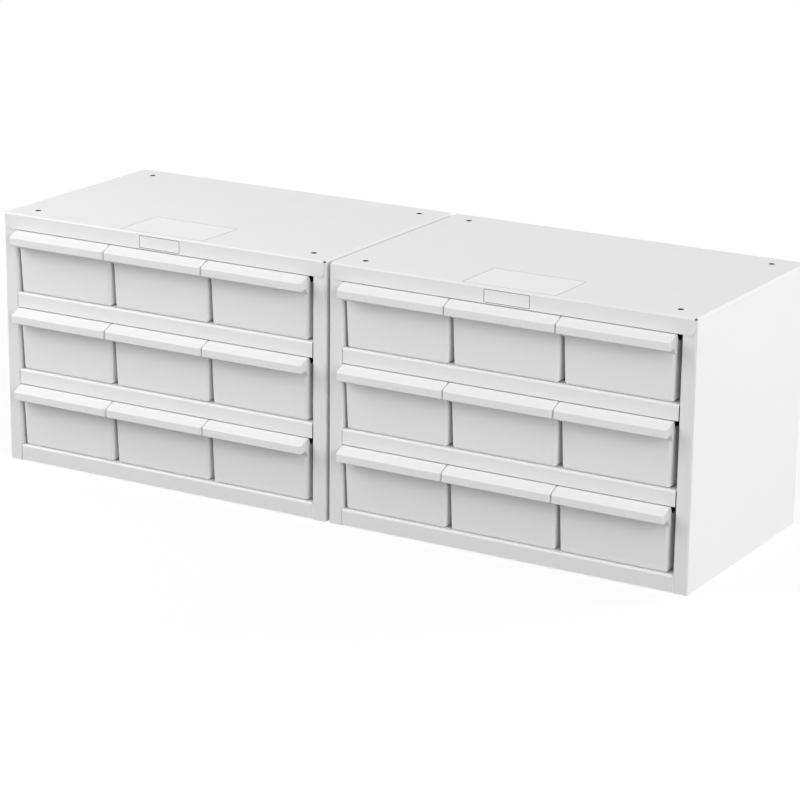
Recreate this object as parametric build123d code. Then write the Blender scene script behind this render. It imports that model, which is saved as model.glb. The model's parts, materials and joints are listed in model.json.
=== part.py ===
from build123d import *
from math import radians, tan
import os

# A pair of van parts bin cabinets, folded from sheet steel, with nine moulded bins in each.
# Sizes are in millimetres. X runs to the right, Y to the back and Z up, so the front faces -Y.
# The origin is on the floor, under the middle of the pair's box.

# Cabinet
cabinet_width = 457.0
cabinet_depth = 292.0  # from the face of the top's front flange to the back
cabinet_height = 311.0
cabinet_gap = 5.0  # between the two cabinets
cabinet_names = ["left", "right"]
row_names = ["bottom", "middle", "top"]
column_names = ["left", "middle", "right"]
shelf_names = ["lower_shelf", "upper_shelf"]  # under every row but the bottom one

# Sheet metal
sheet = 1.2
bend = 2.5  # outer radius of every bend
side_flange = 17.5  # width of the front flanges beside the bins
side_return = 12.0  # leg behind the inner edge of a side's front flange
top_flange = 19.5  # height of the top's front flange
top_flange_inset = 3.2  # from a side's face to the end of the top's flanges
top_flange_corner = 4.5
shelf_flange = 18.2
shelf_skirt = 12.0  # height of a shelf's side and rear flanges
rear_flange = 14.0
bottom_flange = 15.0  # the faces that the cabinet stands on
base_height = 20.0  # from the floor to the face that the lowest bins stand on
base_clearance = 1.2  # under the base's front flange
flange_gap = 0.7  # beside a shelf's front flange
edge_gap = 0.5  # between edges of sheet that meet at a corner

# Mounting holes, on the same rectangle in the top and in the base
hole_diameter = 7.0
hole_from_side = 32.0
hole_from_end = 27.0

# Bin
bin_left_gap = 0.8  # between the opening's left edge and the first lip
bin_right_gap = 6.0  # the play that is left beside the last lip
lip_gap = 1.2  # between the lips of two bins
bin_head_gap = 1.0  # above a bin's lip
seat_gap = 0.3  # under a bin
bin_wall = 2.2
bin_floor = 2.5
bin_draft = 1.7  # degrees
bin_corner = 4.5  # outer radius of the upright corners
bin_inner_bevel = 1.3
bin_bottom_round = 3.0
bin_setback = 1.2  # from the shelf flange's face to the bin's front wall, at its top
bin_rear_gap = 3.0
rim_drop = 9.3  # from the top of the lip to the rim of the sides
rim_shoulder = 4.2  # length of the slope between them

# Lip that is the bin's handle
lip_reach = 15.0  # in front of the cabinet
lip_height = 16.2
lip_fall = 6.0  # from the back of the lip's top face to its front
lip_overhang = 0.8  # of each end of the lip beyond the bin's side
lip_wall = 2.4
lip_edge = 0.8  # bevel of the lip's outer edges
lip_web = 2.6  # thickness of the lip's closed ends
lip_cove = 6.0  # radius between the lip and the front wall, where the fingers go
groove_depth = 0.4
groove_height = 0.6
groove_drop = 5.0  # from the top of the lip's front face to the groove

overcut = 1.0  # by which a cutting shape passes the face that it cuts

# Derived sizes
opening_width = cabinet_width - 2 * side_flange
opening_height = (
    cabinet_height - top_flange - base_height - len(shelf_names) * shelf_flange
) / len(row_names)
row_pitch = opening_height + shelf_flange

front_y = lip_reach / 2 - cabinet_depth / 2
face_y = front_y + sheet  # face of the side flanges and of the shelf flanges
back_y = front_y + cabinet_depth
panel_y = back_y - 2 * sheet  # front face of the back panel
notch_y = face_y + side_return + edge_gap
inner_half_width = cabinet_width / 2 - sheet

bin_height = opening_height - bin_head_gap - seat_gap
lip_gaps = (len(column_names) - 1) * lip_gap
lip_width = (opening_width - bin_left_gap - bin_right_gap - lip_gaps) / len(column_names)
first_bin_x = bin_left_gap + (lip_width - opening_width) / 2
column_x = [first_bin_x + i * (lip_width + lip_gap) for i in range(len(column_names))]
draft_slope = tan(radians(bin_draft))
bin_front_y = face_y + bin_setback
bin_back_y = panel_y - bin_rear_gap
bin_top_width = lip_width - 2 * lip_overhang
bin_rim_z = bin_height - rim_drop


def folded(points, plane, length):
    """A strip of sheet whose outer face follows the points, with a bend at each corner."""
    outer_face = FilletPolyline(*points, radius=bend)
    section = make_face(offset(outer_face, sheet, side=Side.LEFT).edges())
    return extrude(plane * section, amount=length)


def block(x_range, y_range, z_range):
    """A box between two planes in each direction, to cut with."""
    low = Vector(x_range[0], y_range[0], z_range[0])
    size = Vector(x_range[1], y_range[1], z_range[1]) - low
    return Pos(*low) * Box(size.X, size.Y, size.Z, align=Align.MIN)


def both_sides(shape):
    """The shape and its mirror image about the cabinet's middle."""
    return shape + mirror(shape, about=Plane.YZ)


def mounting_holes(face_z):
    """Four cylinders on the mounting rectangle, through the sheet whose upper face is given."""
    hole_y = [front_y + hole_from_end, back_y - hole_from_end]
    hole_x = cabinet_width / 2 - hole_from_side
    drill = Cylinder(hole_diameter / 2, 2 * (sheet + overcut))
    return Part() + [Pos(x, y, face_z) * drill for x in (-hole_x, hole_x) for y in hole_y]


def wrapper():
    """One sheet that is both sides and the top, with all their flanges."""
    half = cabinet_width / 2
    height = cabinet_height
    hoop = folded(
        [
            (half - bottom_flange, 0),
            (half, 0),
            (half, height),
            (-half, height),
            (-half, 0),
            (-half + bottom_flange, 0),
        ],
        Plane.XZ.offset(bend - back_y),
        back_y - face_y - 2 * bend,
    )
    hoop -= both_sides(block((0, half - bend), (face_y, notch_y), (-overcut, sheet + overcut)))
    side = folded(
        [
            (rear_flange - half, back_y),
            (-half, back_y),
            (-half, face_y),
            (side_flange - half, face_y),
            (side_flange - half, face_y + side_return),
        ],
        Plane.XY,
        height - bend,
    )
    side -= block(
        (bend - half, 0),
        (back_y - bend, back_y + overcut),
        (height - rear_flange - edge_gap, height),
    )
    top_end = half - top_flange_inset
    top = folded(
        [
            (back_y, height - rear_flange),
            (back_y, height),
            (front_y, height),
            (front_y, height - top_flange),
        ],
        Plane.YZ.offset(-top_end),
        2 * top_end,
    )
    flange_ends = (
        top.edges()
        .filter_by(Axis.Y)
        .filter_by_position(Axis.Y, front_y, front_y + sheet)
        .group_by(Axis.Z)[0]
    )
    top = fillet(flange_ends, top_flange_corner)
    return hoop + both_sides(side) + top - mounting_holes(height)


def tray(floor_z, flange_low_z, skirt):
    """A shelf or the base: a floor with a front flange and lower flanges on three sides."""
    front_half = opening_width / 2 - flange_gap
    lengthwise = folded(
        [
            (panel_y, floor_z - skirt),
            (panel_y, floor_z),
            (face_y, floor_z),
            (face_y, flange_low_z),
        ],
        Plane.YZ.offset(-front_half),
        2 * front_half,
    )
    crosswise = folded(
        [
            (inner_half_width, floor_z - skirt),
            (inner_half_width, floor_z),
            (-inner_half_width, floor_z),
            (-inner_half_width, floor_z - skirt),
        ],
        Plane.XZ.offset(bend - panel_y),
        panel_y - bend - notch_y,
    )
    return lengthwise + crosswise


def base():
    """The floor of the lowest row, with the holes for the bolts that hold the cabinet down."""
    shell = tray(base_height, base_clearance, base_height - bend - edge_gap)
    return shell - mounting_holes(base_height)


def back_panel():
    """A flat sheet against the inner faces of the rear flanges."""
    half = cabinet_width / 2 - bend - edge_gap
    return block(
        (-half, half),
        (panel_y, panel_y + sheet),
        (bend + edge_gap, cabinet_height - bend - edge_gap),
    )


def drafted(low, high, low_z, high_z):
    """A four-sided outline whose span at its foot widens with the draft up to its head."""
    spread = (high_z - low_z) * draft_slope
    return Polyline(
        (low, low_z),
        (high, low_z),
        (high + spread, high_z),
        (low - spread, high_z),
        close=True,
    )


def bin_form(inset, low_z, high_z):
    """The bin's tapered form between two heights, drawn in from its outer face by the inset."""
    in_from_top = inset + (bin_height - low_z) * draft_slope
    half = bin_top_width / 2 - in_from_top
    front_view = make_face(drafted(-half, half, low_z, high_z))
    side_view = make_face(
        drafted(bin_front_y + in_from_top, bin_back_y - in_from_top, low_z, high_z)
    )
    form = extrude(Plane.XZ.offset(-cabinet_depth) * front_view, amount=2 * cabinet_depth)
    return form & extrude(Plane.YZ.offset(-lip_width) * side_view, amount=2 * lip_width)


def upright_edges(form):
    """The four corners of a tapered form."""
    return form.edges().filter_by(lambda e: abs(e.tangent_at(0.5).Z) > 0.5)


def long_rounding():
    """The bin's front view, with round lower edges, as long as the cabinet."""
    half = bin_top_width / 2 - bin_height * draft_slope
    front_view = make_face(drafted(-half, half, 0, bin_height))
    front_view = fillet(front_view.vertices().group_by(Axis.Y)[0], bin_bottom_round)
    return extrude(Plane.XZ.offset(-cabinet_depth) * front_view, amount=2 * cabinet_depth)


def lip():
    """The hooked handle: closed at its ends, and open below for the fingers."""
    tip_y = front_y - lip_reach
    low_z = bin_height - lip_height
    brow_z = bin_height - lip_fall
    root_y = bin_front_y + bin_wall
    groove_z = brow_z - groove_drop
    section = make_face(
        Polyline(
            (root_y, bin_height),
            (front_y, bin_height),
            (tip_y, brow_z),
            (tip_y, groove_z),
            (tip_y + groove_depth, groove_z),
            (tip_y + groove_depth, groove_z - groove_height),
            (tip_y, groove_z - groove_height),
            (tip_y, low_z),
            (root_y, low_z),
            close=True,
        )
    )
    full = extrude(Plane.YZ.offset(-lip_width / 2) * section, amount=lip_width)
    tip_edges = full.edges().filter_by(Axis.X).group_by(Axis.Y)[0].sort_by(Axis.Z)
    full = chamfer([tip_edges[0], tip_edges[-1]], lip_edge)

    inner_y = tip_y + lip_wall
    hollow_section = make_face(
        Polyline(
            (inner_y, low_z - overcut),
            (inner_y, brow_z - lip_wall),
            (bin_front_y, bin_height - lip_wall),
            (bin_front_y, low_z - overcut),
            close=True,
        )
    )
    cove_corner = hollow_section.vertices().group_by(Axis.Y)[-1].sort_by(Axis.X)[-1]
    hollow_section = fillet(cove_corner, lip_cove)
    hollow_half = lip_width / 2 - lip_web
    hollow = extrude(Plane.YZ.offset(-hollow_half) * hollow_section, amount=2 * hollow_half)
    return full - hollow


def moulded_bin():
    """One bin, standing on the plane Z = 0 under the middle of its column."""
    body = bin_form(0, 0, bin_height)
    body = fillet(upright_edges(body), bin_corner) & long_rounding()
    inside = bin_form(bin_wall, bin_floor, bin_height + overcut)
    inside = chamfer(upright_edges(inside), bin_inner_bevel)
    shoulder_y = bin_front_y + bin_wall
    above_rim = make_face(
        Polyline(
            (shoulder_y, bin_height + overcut),
            (shoulder_y, bin_height),
            (shoulder_y + rim_shoulder, bin_rim_z),
            (back_y, bin_rim_z),
            (back_y, bin_height + overcut),
            close=True,
        )
    )
    cut = extrude(Plane.YZ.offset(-lip_width) * above_rim, amount=2 * lip_width)
    return body + lip() - inside - cut


os.makedirs("parts", exist_ok=True)
bin_shape = moulded_bin()
floor_heights = [base_height + row * row_pitch for row in range(len(row_names))]
for cabinet, name in enumerate(cabinet_names):
    middle_x = (cabinet - (len(cabinet_names) - 1) / 2) * (cabinet_width + cabinet_gap)
    pieces = {
        "wrapper": wrapper(),
        "back_panel": back_panel(),
        "base": base(),
    }
    for row, floor_z in enumerate(floor_heights):
        if row > 0:
            shelf = tray(floor_z, floor_z - shelf_flange, shelf_skirt)
            pieces[shelf_names[row - 1]] = shelf
        for x, column_name in zip(column_x, column_names):
            bin_name = f"bin_{row_names[row]}_{column_name}"
            pieces[bin_name] = Pos(x, 0, floor_z + seat_gap) * bin_shape
    for piece_name, piece in pieces.items():
        export_step(Pos(middle_x, 0, 0) * piece, f"parts/{name}_{piece_name}.step")
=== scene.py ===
import json
from math import cos, pi, radians, sin, sqrt, tan

import bmesh
import bpy
from mathutils import Matrix, Vector


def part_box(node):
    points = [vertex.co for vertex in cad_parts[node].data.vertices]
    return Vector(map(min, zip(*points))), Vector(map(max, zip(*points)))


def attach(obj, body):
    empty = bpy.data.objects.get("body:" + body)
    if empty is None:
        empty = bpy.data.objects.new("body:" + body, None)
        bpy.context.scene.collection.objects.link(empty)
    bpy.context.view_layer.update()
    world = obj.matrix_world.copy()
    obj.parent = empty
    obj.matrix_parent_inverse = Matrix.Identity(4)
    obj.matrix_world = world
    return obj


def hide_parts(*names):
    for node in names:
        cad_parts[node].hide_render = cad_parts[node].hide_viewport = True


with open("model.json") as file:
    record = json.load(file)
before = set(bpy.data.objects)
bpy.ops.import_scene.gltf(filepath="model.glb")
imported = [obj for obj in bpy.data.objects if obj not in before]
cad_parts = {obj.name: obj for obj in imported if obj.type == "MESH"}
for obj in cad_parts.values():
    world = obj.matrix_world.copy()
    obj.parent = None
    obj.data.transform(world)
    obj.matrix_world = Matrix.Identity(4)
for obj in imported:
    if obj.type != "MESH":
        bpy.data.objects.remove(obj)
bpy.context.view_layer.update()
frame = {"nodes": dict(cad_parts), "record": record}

# A pair of white steel cabinets with moulded parts bins, in a white studio.
# Lengths are in metres and angles in degrees. The steel sheets are merged copies of the CAD's,
# with smooth bends and a near-black painted shade on the walls of their holes. The bins are made here
# with round edges, on the sizes of the CAD's bins, and the weld marks and the blank labels are added.

MM = 0.001

# Bin, in its own frame: X from its middle, Z from its foot, Y as in the whole model
BIN_WALL = 2.2 * MM
BIN_FLOOR = 2.5 * MM
BIN_DRAFT = tan(radians(1.7))
BIN_CORNER = 4.5 * MM
BIN_BOTTOM_ROUND = 3.0 * MM
BIN_INNER_ROUND = 2.3 * MM
BIN_SETBACK = 2.4 * MM  # from the top flange's face to the bin's front wall
RIM_DROP = 9.3 * MM
RIM_SHOULDER = 4.2 * MM  # length of the slope from the lip down to the rim
SHOULDER_ROUND = 2.0 * MM
LIP_REACH = 15.0 * MM
LIP_HEIGHT = 16.2 * MM
LIP_FALL = 6.0 * MM
LIP_OVERHANG = 0.8 * MM
LIP_WALL = 2.4 * MM
LIP_WEB = 2.6 * MM
LIP_COVE = 6.0 * MM
LIP_EDGE = 1.3 * MM  # radius of the lip's outer edges and ends
LIP_CORNER = 3.6 * MM  # radius of the lip's front corners, seen from above
LIP_UNDERCUT = 1.3 * MM  # rise of the lip's lower edge from its front to its back
GUSSET_DEPTH = 6.3 * MM  # of the small gusset under each end of the lip
GUSSET_REACH = 5.0 * MM
GROOVE_DEPTH = 0.4 * MM
GROOVE_HEIGHT = 0.6 * MM
GROOVE_DROPS = [4.4 * MM, 6.6 * MM]  # of the fine grooves, from the top of the lip's face
RIM_EDGE = 0.3 * MM
RIM_EDGE_ANGLE = 50  # edges that are sharper than this get the rim's edge radius
CUT_MARGIN = 10 * MM  # how far a form that cuts reaches past what it cuts

# Labels, left blank
TOP_LABEL = (118 * MM, 74 * MM)
TOP_LABEL_SETBACK = 3.8 * MM
FRONT_LABEL = (58 * MM, 16.2 * MM)
FRONT_LABEL_DROP = 2.5 * MM  # from the cabinet's top to the label's upper edge
TOP_LABEL_CORNER = 0.6 * MM
FRONT_LABEL_CORNER = 1.2 * MM
LABEL_THICKNESS = 0.12 * MM
LABEL_MARGIN = 0.4 * MM  # outside the label's printed outline
LABEL_LINE = 0.7 * MM

# Spot welds down the rear flanges
WELD_INSET = 7.5 * MM
WELD_END_GAP = 24.0 * MM
WELD_PITCH = 44.0 * MM
WELD_RADIUS = 2.6 * MM
WELD_CROWN = 0.62  # radius of a mark's flat top, as a share of its foot's
WELD_HEIGHT = 0.1 * MM
WELD_SIDES = 20

HOLE_MARGIN = 0.1 * MM  # how far a face of a hole's wall may lie past the hole's radius
LEAST_RADIUS = 0.3 * MM  # of a corner that is drawn in
LEAST_LIP_EDGE = 0.2 * MM
SMOOTH_ANGLE = 35  # edges up to this angle look round
ARC_STEPS = 6


def outline(corners, radii):
    """A closed outline through the corners, each rounded with its radius, as 2-D points."""
    points = []
    for i, corner in enumerate(corners):
        corner = Vector(corner)
        before = (Vector(corners[i - 1]) - corner).normalized()
        after = (Vector(corners[(i + 1) % len(corners)]) - corner).normalized()
        radius = radii[i]
        if not radius:
            points.append(corner)
            continue
        half_angle = before.angle(after) / 2
        centre = corner + (before + after).normalized() * (radius / sin(half_angle))
        start = corner + before * (radius / tan(half_angle)) - centre
        end = corner + after * (radius / tan(half_angle)) - centre
        sweep = start.angle_signed(end)
        for step in range(ARC_STEPS + 1):
            points.append(centre + Matrix.Rotation(-sweep * step / ARC_STEPS, 2) @ start)
    return points


def drawn_in(corners, distance):
    """The corners of the outline after each of its edges moves inwards by the distance."""
    moved = []
    count = len(corners)
    for i in range(count):
        a, b, c = (Vector(corners[j % count]) for j in (i - 1, i, i + 1))
        u, v = (b - a).normalized(), (c - b).normalized()
        u_in, v_in = Vector((-u.y, u.x)), Vector((-v.y, v.x))
        turn = u.x * v.y - u.y * v.x
        if abs(turn) < 1e-6:
            moved.append(b + u_in * distance)
            continue
        along = ((v_in - u_in) * distance).dot(v_in) / u.dot(v_in)
        moved.append(b + u_in * distance + u * along)
    return moved


def lofted(name, rings):
    """A closed mesh object through rings of as many points each, with flat ends."""
    count = len(rings[0])
    faces = [tuple(reversed(range(count)))]
    for r in range(len(rings) - 1):
        low = r * count
        for i in range(count):
            j = (i + 1) % count
            faces.append((low + i, low + j, low + count + j, low + count + i))
    faces.append(tuple(range((len(rings) - 1) * count, len(rings) * count)))
    mesh = bpy.data.meshes.new(name)
    mesh.from_pydata([p for ring in rings for p in ring], [], faces)
    obj = bpy.data.objects.new(name, mesh)
    bpy.context.scene.collection.objects.link(obj)
    return obj


def across(points, x):
    """2-D points of a side view as a ring in the plane at x."""
    return [Vector((x, y, z)) for y, z in points]


def evaluated(obj, name):
    """The object's mesh after its modifiers, as a mesh of its own."""
    graph = bpy.context.evaluated_depsgraph_get()
    mesh = bpy.data.meshes.new_from_object(obj.evaluated_get(graph))
    mesh.name = name
    return mesh


def smooth(mesh, angle):
    """Round shading over edges up to the angle, in which the larger faces stay flat."""
    around = [[] for _ in mesh.vertices]
    for face in mesh.polygons:
        for vertex in face.vertices:
            around[vertex].append((face.normal.copy(), face.area))
    least = cos(radians(angle))
    normals = []
    for face in mesh.polygons:
        for vertex in face.vertices:
            near = [n * area for n, area in around[vertex] if n.dot(face.normal) > least]
            normals.append(sum(near, Vector()).normalized())
    mesh.polygons.foreach_set("use_smooth", [True] * len(mesh.polygons))
    mesh.normals_split_custom_set(normals)


def placed(name, mesh, body, slot, *materials):
    """A finished piece with the mesh, which rides on the body."""
    indices = [face.material_index for face in mesh.polygons]
    mesh.materials.clear()
    for material in materials:
        mesh.materials.append(material)
    mesh.polygons.foreach_set("material_index", indices)
    obj = bpy.data.objects.new(name, mesh)
    bpy.context.scene.collection.objects.link(obj)
    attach(obj, body)
    return obj


# Materials

def noise(tree, scale, detail=2.0):
    """Noise on the piece's own coordinates, in cycles per metre."""
    place = tree.nodes.new("ShaderNodeTexCoord")
    texture = tree.nodes.new("ShaderNodeTexNoise")
    texture.inputs["Scale"].default_value = scale
    texture.inputs["Detail"].default_value = detail
    tree.links.new(place.outputs["Object"], texture.inputs["Vector"])
    return texture.outputs["Fac"]


def spread(tree, source, low, high):
    """The source's middle range mapped to run from low to high."""
    mapping = tree.nodes.new("ShaderNodeMapRange")
    mapping.inputs["From Min"].default_value = 0.3
    mapping.inputs["From Max"].default_value = 0.7
    mapping.inputs["To Min"].default_value = low
    mapping.inputs["To Max"].default_value = high
    tree.links.new(source, mapping.inputs["Value"])
    return mapping.outputs["Result"]


def white_finish(name, colour, variation, patch, roughness, grain, grain_depth):
    """A white surface with faint tone patches, an uneven gloss and a fine raised grain."""
    material = bpy.data.materials.new(name)
    material.use_nodes = True
    tree = material.node_tree
    shader = tree.nodes["Principled BSDF"]
    tone = spread(tree, noise(tree, patch, 3.0), 1 - variation, 1.0)
    tint = tree.nodes.new("ShaderNodeMix")
    tint.data_type = "RGBA"
    tint.blend_type = "MULTIPLY"
    tint.inputs["Factor"].default_value = 1.0
    tint.inputs["A"].default_value = (*colour, 1)
    tree.links.new(tone, tint.inputs["B"])
    tree.links.new(tint.outputs["Result"], shader.inputs["Base Color"])
    gloss = spread(tree, noise(tree, patch * 6), *roughness)
    tree.links.new(gloss, shader.inputs["Roughness"])
    bump = tree.nodes.new("ShaderNodeBump")
    bump.inputs["Strength"].default_value = GRAIN_STRENGTH
    bump.inputs["Distance"].default_value = grain_depth
    tree.links.new(noise(tree, grain), bump.inputs["Height"])
    tree.links.new(bump.outputs["Normal"], shader.inputs["Normal"])
    return material


GRAIN_STRENGTH = 0.35
powder_coat = white_finish(
    "white powder coat", (0.86, 0.86, 0.862), 0.015, 7.0, (0.36, 0.44), 650, 0.12 * MM
)
bin_plastic = white_finish(
    "moulded white plastic", (0.875, 0.875, 0.875), 0.012, 11.0, (0.44, 0.52), 1900, 0.05 * MM
)
label_film = white_finish(
    "blank label film", (0.88, 0.88, 0.88), 0.01, 30.0, (0.28, 0.34), 900, 0.02 * MM
)
label_line = white_finish(
    "label outline ink", (0.16, 0.16, 0.165), 0.05, 60.0, (0.4, 0.5), 900, 0.02 * MM
)
# Near-black painted shade for the walls of the mounting holes, so that the holes look dark inside
painted_hole_shade = white_finish(
    "painted shade in a hole", (0.03, 0.03, 0.031), 0.2, 400.0, (0.5, 0.6), 2500, 0.02 * MM
)


# Sheet steel

def hole_axes():
    """X and Y of every mounting hole, with its radius."""
    holes = []
    for mount in frame["record"]["mounts"]:
        if mount["kind"] == "bolt_pattern":
            x, y = mount["pos_m"][:2]
            dims = mount["dims"]
            for i in (-0.5, 0.5):
                for j in (-0.5, 0.5):
                    place = (x + i * dims["spacing_x_mm"] * MM, y + j * dims["spacing_y_mm"] * MM)
                    holes.append((Vector(place), dims["hole_r_mm"] * MM))
    return holes


HOLES = hole_axes()


def in_hole(face):
    """True for a face of a mounting hole's wall."""
    middle = face.calc_center_median().xy
    upright = abs(face.normal.z) < 0.5
    return upright and any((middle - place).length < radius + HOLE_MARGIN for place, radius in HOLES)


def sheet_metal(node):
    """A merged copy of a steel piece, with smooth bends, that stands for it."""
    steel = bmesh.new()
    steel.from_mesh(frame["nodes"][node].data)
    bmesh.ops.remove_doubles(steel, verts=steel.verts, dist=0.002 * MM)
    for face in steel.faces:
        # The walls of the mounting holes take the second finish, a near-black painted shade
        face.material_index = int(in_hole(face))
    mesh = bpy.data.meshes.new(node + " steel")
    steel.to_mesh(mesh)
    steel.free()
    smooth(mesh, SMOOTH_ANGLE)
    finished = placed(node + "_steel", mesh, "cabinets", "cabinet_steel", powder_coat, painted_hole_shade)
    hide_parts(node)


for node in sorted(frame["nodes"]):
    if "_bin_" not in node:
        sheet_metal(node)


def weld_tree():
    """Nodes that set a low round mark at every pitch along each line of a mesh."""
    tree = bpy.data.node_groups.new("spot welds", "GeometryNodeTree")
    sockets = {}
    face = tree.interface
    face.new_socket("Geometry", in_out="INPUT", socket_type="NodeSocketGeometry")
    for name, kind in [
        ("Pitch", "NodeSocketFloat"),
        ("Radius", "NodeSocketFloat"),
        ("Height", "NodeSocketFloat"),
        ("Finish", "NodeSocketMaterial"),
    ]:
        sockets[name] = face.new_socket(name, in_out="INPUT", socket_type=kind).identifier
    face.new_socket("Geometry", in_out="OUTPUT", socket_type="NodeSocketGeometry")
    node, link = tree.nodes.new, tree.links.new
    start = node("NodeGroupInput")
    curve = node("GeometryNodeMeshToCurve")
    steps = node("GeometryNodeResampleCurve")
    steps.mode = "LENGTH"
    mark = node("GeometryNodeMeshCone")
    mark.inputs["Vertices"].default_value = WELD_SIDES
    crown = node("ShaderNodeMath")
    crown.operation = "MULTIPLY"
    crown.inputs[1].default_value = WELD_CROWN
    turned = node("GeometryNodeTransform")
    turned.inputs["Rotation"].default_value = (-pi / 2, 0, 0)
    copies = node("GeometryNodeInstanceOnPoints")
    real = node("GeometryNodeRealizeInstances")
    coat = node("GeometryNodeSetMaterial")
    end = node("NodeGroupOutput")
    link(start.outputs["Geometry"], curve.inputs["Mesh"])
    link(curve.outputs["Curve"], steps.inputs["Curve"])
    link(start.outputs["Pitch"], steps.inputs["Length"])
    link(start.outputs["Radius"], crown.inputs[0])
    link(crown.outputs[0], mark.inputs["Radius Top"])
    link(start.outputs["Radius"], mark.inputs["Radius Bottom"])
    link(start.outputs["Height"], mark.inputs["Depth"])
    link(mark.outputs["Mesh"], turned.inputs["Geometry"])
    link(steps.outputs["Curve"], copies.inputs["Points"])
    link(turned.outputs["Geometry"], copies.inputs["Instance"])
    link(copies.outputs["Instances"], real.inputs["Geometry"])
    link(real.outputs["Geometry"], coat.inputs["Geometry"])
    link(start.outputs["Finish"], coat.inputs["Material"])
    link(coat.outputs["Geometry"], end.inputs["Geometry"])
    return tree, sockets


def weld_marks():
    """The marks of the spot welds down the rear flanges of both cabinets, as one piece."""
    lines, edges = [], []
    for side in ("left", "right"):
        low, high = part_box(side + "_wrapper")
        for x in (low.x + WELD_INSET, high.x - WELD_INSET):
            edges.append((len(lines), len(lines) + 1))
            lines += [(x, high.y, low.z + WELD_END_GAP), (x, high.y, high.z - WELD_END_GAP)]
    mesh = bpy.data.meshes.new("weld lines")
    mesh.from_pydata(lines, edges, [])
    seam = bpy.data.objects.new("weld lines", mesh)
    bpy.context.scene.collection.objects.link(seam)
    tree, sockets = weld_tree()
    nodes = seam.modifiers.new("spot welds", "NODES")
    nodes.node_group = tree
    nodes[sockets["Pitch"]] = WELD_PITCH
    nodes[sockets["Radius"]] = WELD_RADIUS
    nodes[sockets["Height"]] = WELD_HEIGHT
    nodes[sockets["Finish"]] = powder_coat
    mesh = evaluated(seam, "spot welds")
    bpy.data.objects.remove(seam)
    placed("rear_spot_welds", mesh, "cabinets", "cabinet_steel", powder_coat)


weld_marks()


# Bins

sample_low, sample_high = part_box("left_bin_top_middle")
bin_height = sample_high.z - sample_low.z
bin_back_y = sample_high.y + RIM_DROP * BIN_DRAFT
tip_y = sample_low.y
front_y = tip_y + LIP_REACH  # face of the cabinet's top flange
bin_front_y = front_y + BIN_SETBACK
lip_root_y = bin_front_y + BIN_WALL
lip_half = (sample_high.x - sample_low.x) / 2
bin_half = lip_half - LIP_OVERHANG
rim_z = bin_height - RIM_DROP
clear_z = bin_height + CUT_MARGIN
clear_x = lip_half + CUT_MARGIN


def tray_rings(inset, low_z, high_z, bottom_round):
    """Rings of the bin's tapered form, drawn in by the inset, with a round lower edge."""
    rings = []
    levels = [
        (low_z + bottom_round * (1 - cos(a)), bottom_round * (1 - sin(a)))
        for a in (pi / 2 * step / ARC_STEPS for step in range(ARC_STEPS + 1))
    ]
    for z, extra in [*levels, (high_z, 0.0)]:
        back_in = inset + extra + (bin_height - z) * BIN_DRAFT
        x, y_front, y_back = bin_half - back_in, bin_front_y + back_in, bin_back_y - back_in
        corners = [(-x, y_front), (x, y_front), (x, y_back), (-x, y_back)]
        radius = max(BIN_CORNER - inset - extra, LEAST_RADIUS)
        rings.append([Vector((*p, z)) for p in outline(corners, [radius] * 4)])
    return rings


def lip_ring(x, inset, corner_depth):
    """The lip's side view at x, drawn in by the inset, with its face set back at the corners."""
    low_z = bin_height - LIP_HEIGHT
    face_y = tip_y + corner_depth
    brow_z = bin_height - LIP_FALL * (front_y - face_y) / LIP_REACH
    groove_depth = GROOVE_DEPTH if corner_depth < 0.1 * MM else 0.0
    face = [(face_y, brow_z)]
    for drop in GROOVE_DROPS:
        top = bin_height - LIP_FALL - drop
        face += [
            (face_y, top),
            (face_y + groove_depth, top - GROOVE_HEIGHT * 0.3),
            (face_y + groove_depth, top - GROOVE_HEIGHT * 0.7),
            (face_y, top - GROOVE_HEIGHT),
        ]
    corners = [
        (lip_root_y, bin_height),
        (front_y, bin_height),
        *face,
        (face_y, low_z),
        (bin_front_y - GUSSET_REACH, low_z + LIP_UNDERCUT),
        (bin_front_y + BIN_DRAFT * LIP_HEIGHT, low_z - GUSSET_DEPTH),
        (lip_root_y, low_z - GUSSET_DEPTH),
    ]
    edge = max(LIP_EDGE - inset, LEAST_LIP_EDGE)
    radii = [0, 1.5 * LIP_EDGE, edge, *[0] * (len(face) - 1), edge, edge, 0, 0]
    return across(outline(drawn_in(corners, inset), radii), x)


def arc_depth(x, radius):
    """How far a round corner of the radius, at the lip's end, has left the flat face at x."""
    run = max(abs(x) - (lip_half - radius), 0.0)
    return radius - sqrt(max(radius**2 - run**2, 0.0))


def lip_rings():
    """Rings of the whole lip, with rounded ends."""
    steps = 2 * ARC_STEPS
    ends = [lip_half - LIP_CORNER * (1 - sin(pi / 2 * step / steps)) for step in range(steps + 1)]
    places = [-x for x in reversed(ends)] + ends
    return [lip_ring(x, arc_depth(x, LIP_EDGE), arc_depth(x, LIP_CORNER)) for x in places]


def finger_hollow():
    """The side view of what is cut away under the lip, between its closed ends."""
    low_z = bin_height - LIP_HEIGHT - GUSSET_DEPTH - 1 * MM
    corners = [
        (tip_y + LIP_WALL, low_z),
        (bin_front_y, low_z),
        (bin_front_y, bin_height - LIP_WALL),
        (tip_y + LIP_WALL, bin_height - LIP_FALL - LIP_WALL),
    ]
    return outline(corners, [0, 0, LIP_COVE, 0.8 * MM])


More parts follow.
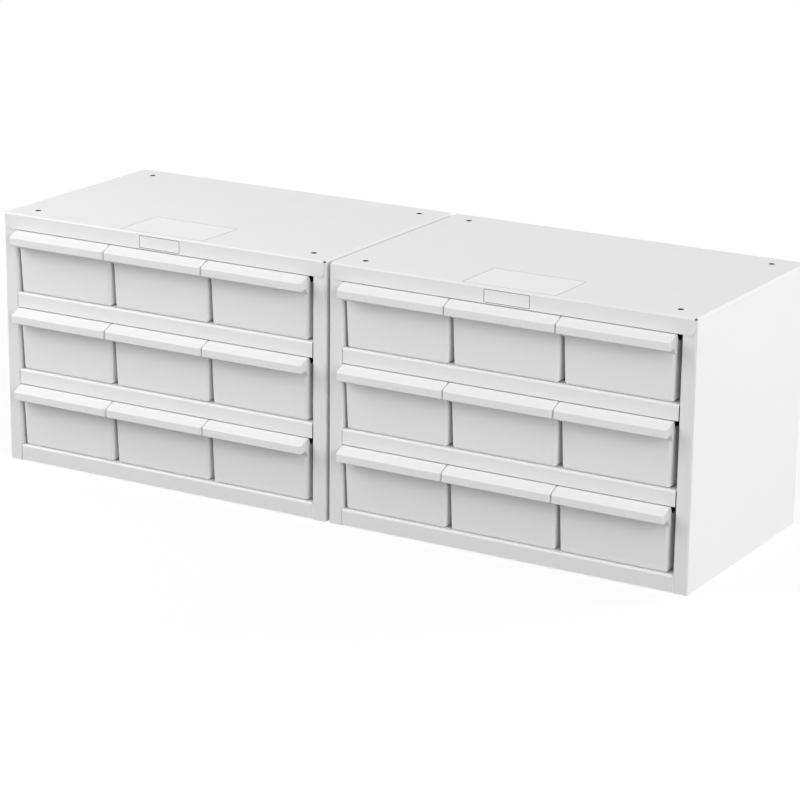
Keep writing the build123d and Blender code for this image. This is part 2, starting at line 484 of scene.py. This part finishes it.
def moulded_bin():
    """The mesh of one bin, standing on the plane Z = 0 with its middle at X = 0."""
    form = lofted("form", tray_rings(0, 0, bin_height, BIN_BOTTOM_ROUND))
    lip = lofted("lip", lip_rings())
    gap, gap_half = finger_hollow(), lip_half - LIP_WEB
    hollow = lofted("hollow", [across(gap, gap_half), across(gap, -gap_half)])
    inside = lofted("inside", tray_rings(BIN_WALL, BIN_FLOOR, clear_z, BIN_INNER_ROUND))
    rim_points = outline(
        [
            (lip_root_y, clear_z),
            (lip_root_y, bin_height),
            (lip_root_y + RIM_SHOULDER, rim_z),
            (bin_back_y + CUT_MARGIN, rim_z),
            (bin_back_y + CUT_MARGIN, clear_z),
        ],
        [0, 0, SHOULDER_ROUND, 0, 0],
    )
    above_rim = lofted("above rim", [across(rim_points, -clear_x), across(rim_points, clear_x)])
    steps = [(lip, "UNION"), (hollow, "DIFFERENCE"), (inside, "DIFFERENCE"), (above_rim, "DIFFERENCE")]
    for tool, operation in steps:
        join = form.modifiers.new(tool.name, "BOOLEAN")
        join.solver = "EXACT"
        join.operation = operation
        join.object = tool
    edge = form.modifiers.new("edge", "BEVEL")
    edge.width = RIM_EDGE
    edge.segments = 2
    edge.limit_method = "ANGLE"
    edge.angle_limit = radians(RIM_EDGE_ANGLE)
    mesh = evaluated(form, "bin")
    for scrap in (form, *(tool for tool, _ in steps)):
        bpy.data.objects.remove(scrap)
    smooth(mesh, SMOOTH_ANGLE)
    return mesh


bin_mesh = moulded_bin()
for node in sorted(frame["nodes"]):
    if "_bin_" in node:
        low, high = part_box(node)
        mesh = bin_mesh.copy()
        mesh.transform(Matrix.Translation(((low.x + high.x) / 2, 0, low.z)))
        moulding = placed(node + "_moulding", mesh, node, "bin_plastic", bin_plastic)
        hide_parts(node)


# Labels

def label(name, size, corner, place):
    """A blank label with a thin printed outline, moved from the XY plane by the matrix."""
    half_x, half_y = size[0] / 2, size[1] / 2
    corners = [(-half_x, -half_y), (half_x, -half_y), (half_x, half_y), (-half_x, half_y)]
    rings = []
    for inset, z in [
        (0, 0),
        (0, LABEL_THICKNESS),
        (LABEL_MARGIN, LABEL_THICKNESS),
        (LABEL_MARGIN + LABEL_LINE, LABEL_THICKNESS),
    ]:
        radius = max(corner - inset, LEAST_RADIUS)
        ring = outline(drawn_in(corners, inset), [radius] * 4)
        rings.append([Vector((*p, z)) for p in ring])
    sheet = lofted(name + " sheet", rings)
    count = len(rings[0])
    for face in sheet.data.polygons[1 + 2 * count : 1 + 3 * count]:  # between the last two rings
        face.material_index = 1
    mesh = evaluated(sheet, name)
    bpy.data.objects.remove(sheet)
    mesh.transform(place)
    placed(name, mesh, "cabinets", "cabinet_steel", label_film, label_line)


for side in ("left", "right"):
    low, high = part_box(side + "_wrapper")
    middle_x = (low.x + high.x) / 2
    label(
        side + "_top_label",
        TOP_LABEL,
        TOP_LABEL_CORNER,
        Matrix.Translation((middle_x, low.y + TOP_LABEL_SETBACK + TOP_LABEL[1] / 2, high.z)),
    )
    label(
        side + "_front_label",
        FRONT_LABEL,
        FRONT_LABEL_CORNER,
        Matrix.Translation((middle_x, low.y, high.z - FRONT_LABEL_DROP - FRONT_LABEL[1] / 2))
        @ Matrix.Rotation(pi / 2, 4, "X"),
    )


# Studio

FLOOR_PAINT = 0.30
FLOOR_LIFT = 0.72  # what a straight look at the floor adds, so that only shadows stay grey
FLOOR_FADE = (0.6, 1.3)  # distances from the middle between which the floor turns white
FLOOR_HALF = 14.0
LAMP_AIM = Vector((0, 0, 0.15))
AMBIENT = 0.47


def seen_directly(tree):
    """A value of 1 on camera, glossy and transmission rays, and 0 on the others."""
    rays = tree.nodes.new("ShaderNodeLightPath")
    value = rays.outputs["Is Camera Ray"]
    for name in ("Is Glossy Ray", "Is Transmission Ray"):
        either = tree.nodes.new("ShaderNodeMath")
        either.operation = "MAXIMUM"
        tree.links.new(value, either.inputs[0])
        tree.links.new(rays.outputs[name], either.inputs[1])
        value = either.outputs[0]
    return value


def times(tree, a, b):
    """The product of two values, of which the second may be a plain number."""
    product = tree.nodes.new("ShaderNodeMath")
    product.operation = "MULTIPLY"
    tree.links.new(a, product.inputs[0])
    if isinstance(b, float):
        product.inputs[1].default_value = b
    else:
        tree.links.new(b, product.inputs[1])
    return product.outputs[0]


def floor_material():
    """A pale floor that takes the shadow and turns white away from the object."""
    material = bpy.data.materials.new("studio floor")
    material.use_nodes = True
    tree = material.node_tree
    tree.nodes.clear()
    link = tree.links.new
    seen = seen_directly(tree)
    paint = tree.nodes.new("ShaderNodeBsdfDiffuse")
    paint.inputs["Color"].default_value = (*[FLOOR_PAINT] * 3, 1)
    lift = tree.nodes.new("ShaderNodeEmission")
    link(times(tree, seen, FLOOR_LIFT), lift.inputs["Strength"])
    near = tree.nodes.new("ShaderNodeAddShader")
    link(paint.outputs[0], near.inputs[0])
    link(lift.outputs[0], near.inputs[1])
    white = tree.nodes.new("ShaderNodeEmission")
    place = tree.nodes.new("ShaderNodeTexCoord")
    distance = tree.nodes.new("ShaderNodeVectorMath")
    distance.operation = "LENGTH"
    link(place.outputs["Object"], distance.inputs[0])
    fade = tree.nodes.new("ShaderNodeMapRange")
    fade.interpolation_type = "SMOOTHSTEP"
    fade.inputs["From Min"].default_value = FLOOR_FADE[0]
    fade.inputs["From Max"].default_value = FLOOR_FADE[1]
    link(distance.outputs["Value"], fade.inputs["Value"])
    mix = tree.nodes.new("ShaderNodeMixShader")
    link(times(tree, fade.outputs["Result"], seen), mix.inputs["Fac"])
    link(near.outputs[0], mix.inputs[1])
    link(white.outputs[0], mix.inputs[2])
    out = tree.nodes.new("ShaderNodeOutputMaterial")
    link(mix.outputs[0], out.inputs["Surface"])
    return material


floor_mesh = bpy.data.meshes.new("floor")
floor_corners = [(x * FLOOR_HALF, y * FLOOR_HALF, 0) for x, y in ((-1, -1), (1, -1), (1, 1), (-1, 1))]
floor_mesh.from_pydata(floor_corners, [], [(0, 1, 2, 3)])
floor_mesh.materials.append(floor_material())
floor = bpy.data.objects.new("floor", floor_mesh)
bpy.context.scene.collection.objects.link(floor)


def direction(azimuth, elevation):
    """Unit vector towards the viewer. Azimuth 0 is in front of the object and 90 to its right."""
    a, e = radians(azimuth), radians(elevation)
    return Vector((sin(a) * cos(e), -cos(a) * cos(e), sin(e)))


def soft_box(name, azimuth, elevation, distance, size, level, reflected=True):
    """A square lamp aimed at the object, which lights a face turned to it at about the level."""
    lamp = bpy.data.lights.new(name, "AREA")
    lamp.shape = "SQUARE"
    lamp.size = size
    lamp.energy = level * pi * pi * distance**2
    obj = bpy.data.objects.new(name, lamp)
    towards = direction(azimuth, elevation)
    obj.location = LAMP_AIM + towards * distance
    obj.rotation_mode = "QUATERNION"
    obj.rotation_quaternion = towards.to_track_quat("Z", "Y")
    obj.visible_glossy = reflected
    bpy.context.scene.collection.objects.link(obj)


soft_box("left soft box", -51, 32, 2.5, 1.5, 0.481)
soft_box("right soft box", 142, 8, 4.5, 2.2, 0.62, reflected=False)
soft_box("front fill", 60, 20, 4.0, 2.2, 0.398, reflected=False)

world = bpy.data.worlds.new("studio")
bpy.context.scene.world = world
world.use_nodes = True
sky = world.node_tree.nodes["Background"]
sky.inputs["Color"].default_value = (1, 1, 1, 1)
level = world.node_tree.nodes.new("ShaderNodeMapRange")
level.inputs["To Min"].default_value = AMBIENT
world.node_tree.links.new(seen_directly(world.node_tree), level.inputs["Value"])
world.node_tree.links.new(level.outputs["Result"], sky.inputs["Strength"])

bpy.context.scene.view_settings.view_transform = "Standard"

# Camera, where the photograph's was
VIEW_AZIMUTH = 30.51
VIEW_ELEVATION = 16.59
VIEW_ROLL = 0.61
VIEW_DISTANCE = 3.492
VIEW_CENTRE = Vector((0.0158, 0, 0.1159))
FOCAL_PIXELS = 2952
IMAGE_PIXELS = 800

camera_data = bpy.data.cameras.new("camera")
camera_data.sensor_width = 36
camera_data.lens = FOCAL_PIXELS / IMAGE_PIXELS * camera_data.sensor_width
camera = bpy.data.objects.new("camera", camera_data)
bpy.context.scene.collection.objects.link(camera)
back = direction(VIEW_AZIMUTH, VIEW_ELEVATION)
right = direction(VIEW_AZIMUTH + 90, 0)
up = back.cross(right)
roll = radians(VIEW_ROLL)
turn = Matrix(
    (right * cos(roll) + up * sin(roll), up * cos(roll) - right * sin(roll), back)
).transposed()
camera.matrix_world = Matrix.Translation(VIEW_CENTRE + back * VIEW_DISTANCE) @ turn.to_4x4()
bpy.context.scene.camera = camera
